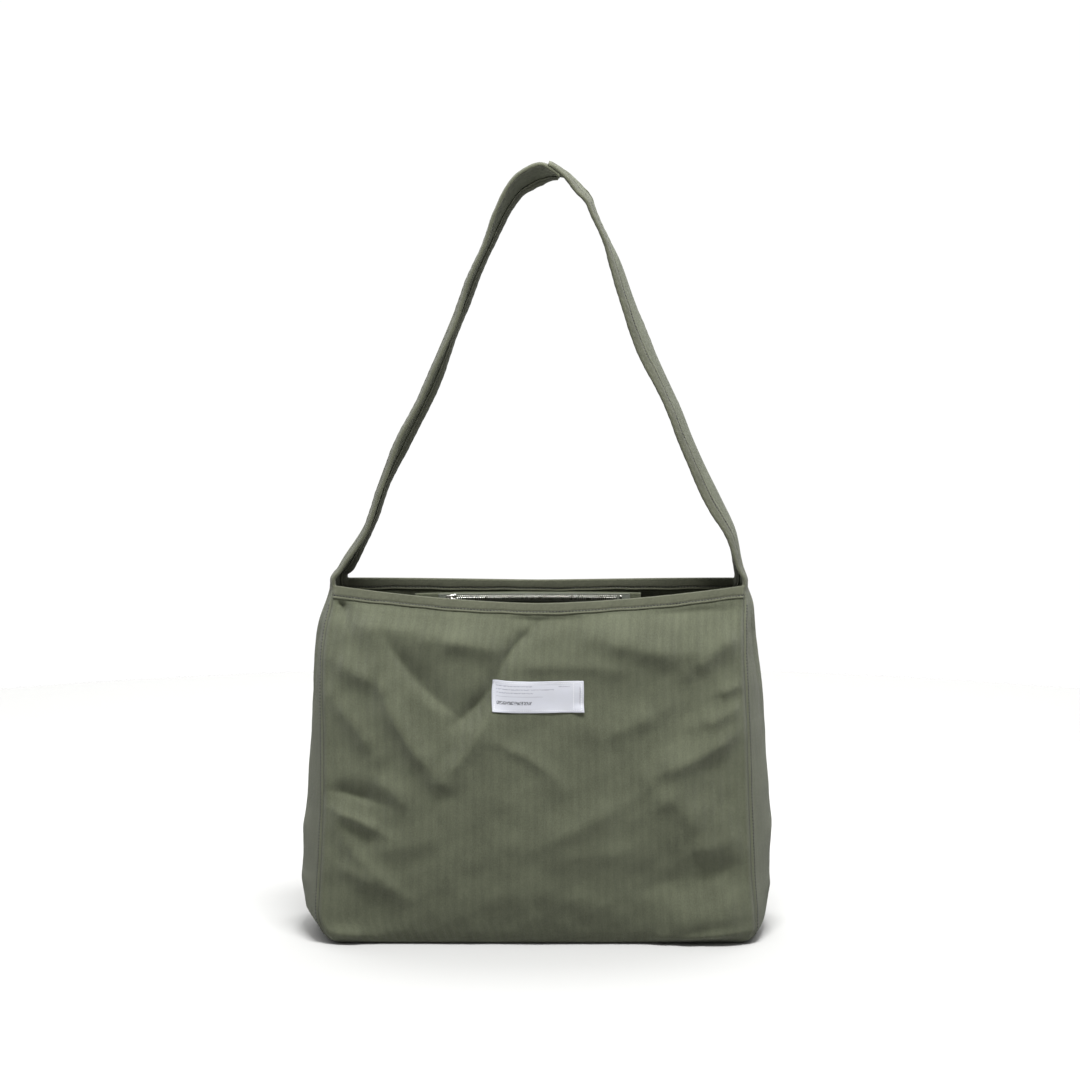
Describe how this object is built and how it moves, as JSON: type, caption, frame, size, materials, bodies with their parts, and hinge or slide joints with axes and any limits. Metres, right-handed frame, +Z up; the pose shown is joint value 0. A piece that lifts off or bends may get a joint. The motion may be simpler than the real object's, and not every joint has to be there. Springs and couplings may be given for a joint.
{
  "type": "shoulder bag",
  "caption": "Open-topped shoulder bag of olive herringbone twill with gussets, bound rims, a lapped shoulder strap and a zipped inner pocket.",
  "frame": {"origin": "middle of the bag's footprint box, on the floor", "axes": "+X to the right as seen from the front, +Y from the front to the back, +Z up"},
  "size_m": [0.487, 0.188, 0.7886],
  "materials": {
    "twill": "herringbone twill, matt",
    "binding": "folded twill tape, matt",
    "zip_tape": "woven tape",
    "zip_metal": "nickel, worn satin",
    "label": "woven satin label, bare"
  },
  "bodies": {
    "bag": {"front_panel": "twill", "back_panel": "twill", "gusset_left": "twill", "gusset_right": "twill", "base_panel": "twill", "strap_left": "twill", "strap_right": "twill", "rim_binding_front": "binding", "rim_binding_back": "binding", "strap_binding_left_front": "binding", "strap_binding_left_back": "binding", "strap_binding_right_front": "binding", "strap_binding_right_back": "binding", "pocket_panel": "twill", "zip_tape": "zip_tape", "zip_chain": "zip_metal", "zip_stop": "zip_metal", "zip_slider": "zip_metal", "label": "label"},
    "zip_pull": {"zip_pull": "zip_metal"}
  },
  "joints": [
    {"name": "zip_pull_swing", "type": "hinge", "parent": "bag", "child": "zip_pull", "pos_m": [-0.08771, 0.04527, 0.3362], "axis": [-0.9928, -0.1198, 0], "range_deg": [0, 120]}
  ]
}
